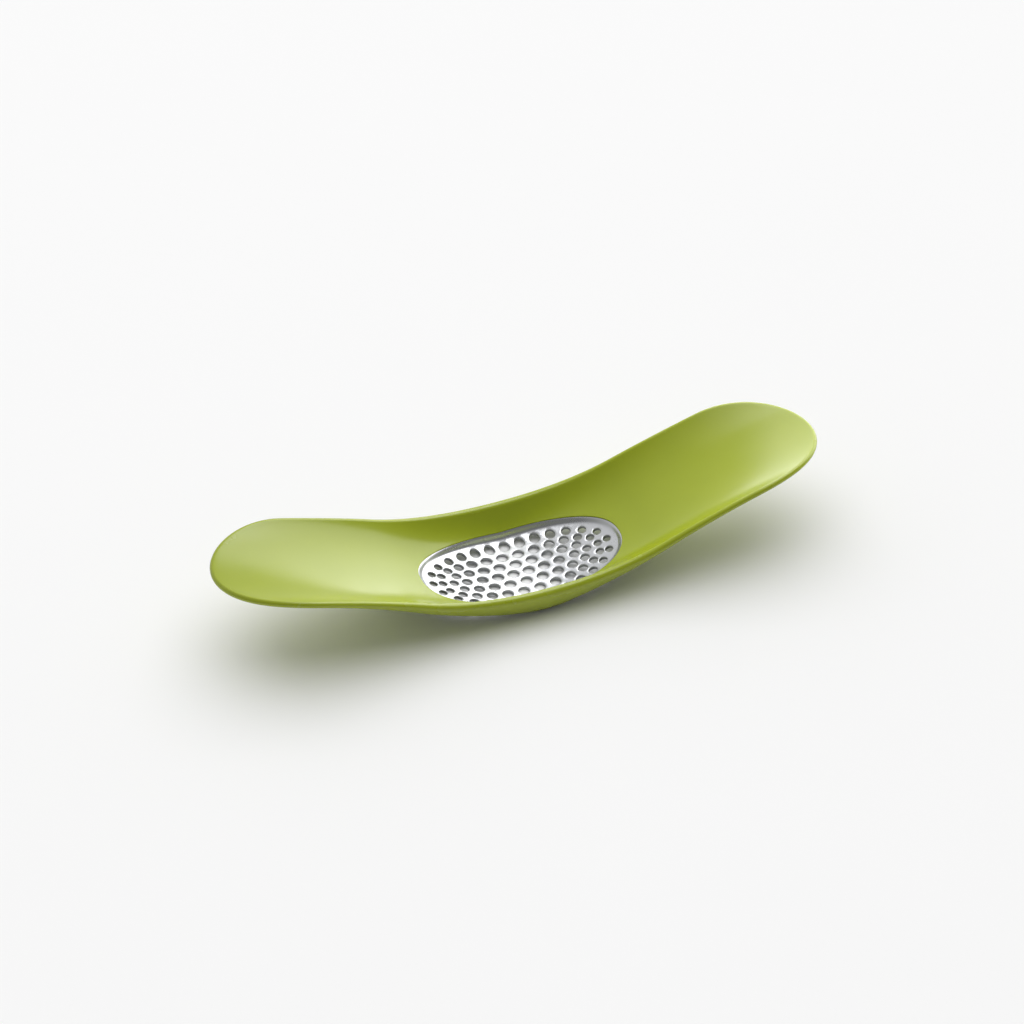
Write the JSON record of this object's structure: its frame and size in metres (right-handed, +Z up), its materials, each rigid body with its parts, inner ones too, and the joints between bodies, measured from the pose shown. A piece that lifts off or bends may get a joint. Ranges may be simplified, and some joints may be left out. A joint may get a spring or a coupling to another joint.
{
  "type": "rocking garlic press",
  "caption": "Trough-shaped plastic rocker with upswept cupped handles and a perforated steel dish set in its curved sole, for crushing garlic by hand.",
  "frame": {"origin": "on the worktop under the middle of the sole, where the tool stands at rest", "axes": "+X along the length towards one handle, +Y across the width, +Z up out of the open trough"},
  "size_m": [0.1652, 0.0408, 0.0251],
  "materials": {
    "body_plastic": "smooth moulded plastic with a soft gloss",
    "dish_steel": "satin stainless steel, finely polished, with punched holes"
  },
  "bodies": {
    "root": {"body": "body_plastic", "crush_plate": "dish_steel"}
  },
  "joints": []
}
